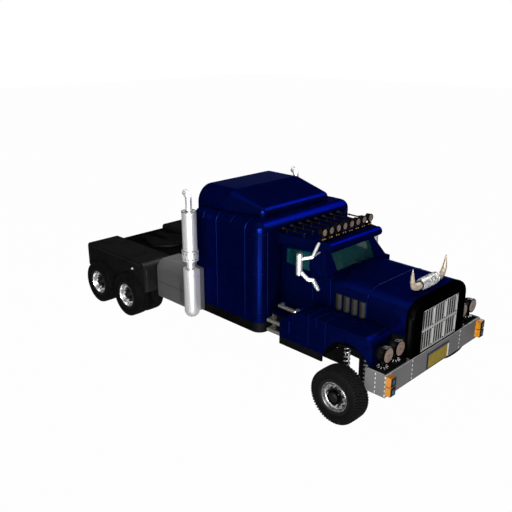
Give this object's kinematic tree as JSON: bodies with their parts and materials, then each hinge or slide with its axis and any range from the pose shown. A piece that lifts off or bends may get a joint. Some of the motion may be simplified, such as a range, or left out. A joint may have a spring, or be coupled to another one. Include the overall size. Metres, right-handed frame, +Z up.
{
  "type": "sleeper tractor truck",
  "caption": "Long-nosed road tractor with a sleeper cabin, upright exhaust stacks, twin rear axles, roof lamps and a tilting hood.",
  "frame": {"origin": "on the ground under the middle of the overall length, on the centre line", "axes": "+X forward, +Y to the truck's left, +Z up"},
  "size_m": [8.024, 3.258, 3.0253],
  "materials": {
    "blue_paint": "deep gloss navy",
    "black_paint": "satin black",
    "chrome": "polished",
    "grey_metal": "polished sheet",
    "tyre": "matt",
    "glass": "tinted",
    "cast": "bare",
    "amber": "clear amber",
    "lens": "frosted",
    "plate_yellow": "satin",
    "louvre": "matt",
    "horn": "polished horn",
    "seat": "tan",
    "dash": "matt",
    "boot": "matt"
  },
  "bodies": {
    "chassis": {"frame": "black_paint", "deck": "black_paint", "coupling": "cast", "engine": "cast", "front_axle": "black_paint", "front_springs": "grey_metal", "rear_axles": "black_paint", "fuel_tanks": "grey_metal", "stacks": "chrome", "rear_fenders": "black_paint", "marker_lamps": "amber", "sleeper": "blue_paint", "sleeper_roof": "blue_paint", "cab_boot": "boot", "sills": "black_paint", "cab": "blue_paint", "cab_roof": "blue_paint", "windscreen": "glass", "dash": "dash", "seats": "seat", "front_fenders": "blue_paint", "steps": "chrome", "hood_rear": "blue_paint", "louvres": "louvre", "bumper": "grey_metal", "headlamps": "black_paint", "lamp_lenses": "lens", "plate": "plate_yellow", "roof_lamp_bar": "black_paint", "air_horns": "black_paint"},
    "hood": {"hood": "blue_paint", "radiator_shell": "black_paint", "grille": "chrome", "hood_ornament": "chrome", "bull_horns": "horn"},
    "door_right": {"door_right": "blue_paint", "door_glass_right": "glass", "mirror_right": "chrome"},
    "steering_right": {"knuckle_right": "black_paint"},
    "wheel_front_right": {"wheel_front_right": "chrome", "tyre_front_right": "tyre"},
    "wheel_mid_right": {"wheel_mid_right": "chrome", "tyre_mid_right": "tyre"},
    "wheel_rear_right": {"wheel_rear_right": "chrome", "tyre_rear_right": "tyre"},
    "door_left": {"door_left": "blue_paint", "door_glass_left": "glass", "mirror_left": "chrome"},
    "steering_left": {"knuckle_left": "black_paint"},
    "wheel_front_left": {"wheel_front_left": "chrome", "tyre_front_left": "tyre"},
    "wheel_mid_left": {"wheel_mid_left": "chrome", "tyre_mid_left": "tyre"},
    "wheel_rear_left": {"wheel_rear_left": "chrome", "tyre_rear_left": "tyre"}
  },
  "joints": [
    {"name": "steer_right", "type": "hinge", "parent": "chassis", "child": "steering_right", "pos_m": [3.168, -1.4, 0.45], "axis": [0, 0, 1], "range_deg": [-30, 30]},
    {"name": "steer_left", "type": "hinge", "parent": "chassis", "child": "steering_left", "pos_m": [3.168, 1.4, 0.45], "axis": [0, 0, 1], "range_deg": [-30, 30]},
    {"name": "spin_front_right", "type": "hinge", "parent": "steering_right", "child": "wheel_front_right", "pos_m": [3.168, -1.469, 0.45], "axis": [0, 1, 0], "continuous": true},
    {"name": "spin_mid_right", "type": "hinge", "parent": "chassis", "child": "wheel_mid_right", "pos_m": [-2.382, -1.215, 0.45], "axis": [0, 1, 0], "continuous": true},
    {"name": "spin_rear_right", "type": "hinge", "parent": "chassis", "child": "wheel_rear_right", "pos_m": [-3.438, -1.215, 0.45], "axis": [0, 1, 0], "continuous": true},
    {"name": "door_hinge_right", "type": "hinge", "parent": "chassis", "child": "door_right", "pos_m": [2.229, -0.828, 1.72], "axis": [0, 0, 1], "range_deg": [0, 65]},
    {"name": "spin_front_left", "type": "hinge", "parent": "steering_left", "child": "wheel_front_left", "pos_m": [3.168, 1.469, 0.45], "axis": [0, 1, 0], "continuous": true},
    {"name": "spin_mid_left", "type": "hinge", "parent": "chassis", "child": "wheel_mid_left", "pos_m": [-2.382, 1.215, 0.45], "axis": [0, 1, 0], "continuous": true},
    {"name": "spin_rear_left", "type": "hinge", "parent": "chassis", "child": "wheel_rear_left", "pos_m": [-3.438, 1.215, 0.45], "axis": [0, 1, 0], "continuous": true},
    {"name": "door_hinge_left", "type": "hinge", "parent": "chassis", "child": "door_left", "pos_m": [2.229, 0.828, 1.72], "axis": [0, 0, -1], "range_deg": [0, 65]},
    {"name": "hood_tilt", "type": "hinge", "parent": "chassis", "child": "hood", "pos_m": [3.91, 0, 1.075], "axis": [0, 1, 0], "range_deg": [0, 60]}
  ],
  "couplings": [
    {"joint": "steer_left", "follows": "steer_right", "ratio": 1}
  ]
}
